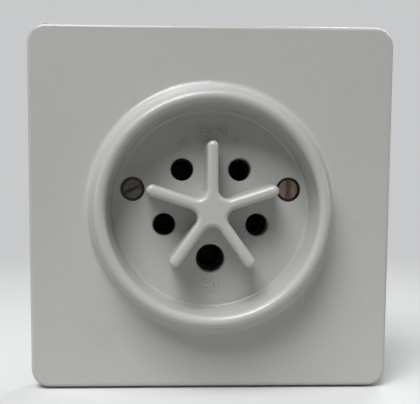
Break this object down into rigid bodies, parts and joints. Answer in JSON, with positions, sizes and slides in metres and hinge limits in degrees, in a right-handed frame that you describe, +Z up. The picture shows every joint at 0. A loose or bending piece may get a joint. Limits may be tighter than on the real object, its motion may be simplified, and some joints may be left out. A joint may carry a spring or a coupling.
{
  "type": "five-pin three-phase flush wall socket",
  "caption": "Square white flush wall socket for a round three-phase plug, with a round collar, a star-shaped key in the recess and a moulded contact base behind.",
  "frame": {"origin": "centre of the contact circle on the wall surface, midway between the two box screws", "axes": "+X right as seen from the front, +Y into the wall, +Z up; the front of the socket faces -Y"},
  "size_m": [0.092, 0.0492, 0.092],
  "materials": {
    "cover_white": "glossy moulded white urea plastic",
    "base_thermoset": "dull brown moulded thermoset",
    "rear_thermoset": "dull dark brown moulded thermoset",
    "zinc_steel": "zinc-plated pressed sheet",
    "brass": "turned brass",
    "spring_steel": "blank spring steel",
    "cover_screw_steel": "tarnished steel",
    "zinc_screw": "zinc-plated",
    "rivet_metal": "rolled hollow rivet"
  },
  "bodies": {
    "root": {"cover_plate": "cover_white", "cover_screw_left": "cover_screw_steel", "cover_screw_right": "cover_screw_steel", "screw_insert_left": "brass", "screw_insert_right": "brass", "support_ring": "zinc_steel", "socket_base": "base_thermoset", "rear_plate": "rear_thermoset", "earth_strap": "brass", "contact_earth": "brass", "spring_earth": "spring_steel", "clamp_screw_earth": "zinc_screw", "contact_neutral": "brass", "spring_neutral": "spring_steel", "clamp_screw_neutral": "zinc_screw", "contact_line_3": "brass", "spring_line_3": "spring_steel", "clamp_screw_line_3": "zinc_screw", "contact_line_2": "brass", "spring_line_2": "spring_steel", "clamp_screw_line_2": "zinc_screw", "contact_line_1": "brass", "spring_line_1": "spring_steel", "clamp_screw_line_1": "zinc_screw", "rivet_upper_right": "rivet_metal", "rivet_upper_left": "rivet_metal", "rivet_lower_left": "rivet_metal", "rivet_lower_right": "rivet_metal", "rear_screw_top": "zinc_screw", "rear_screw_right": "zinc_screw", "rear_screw_left": "zinc_screw"}
  },
  "joints": []
}
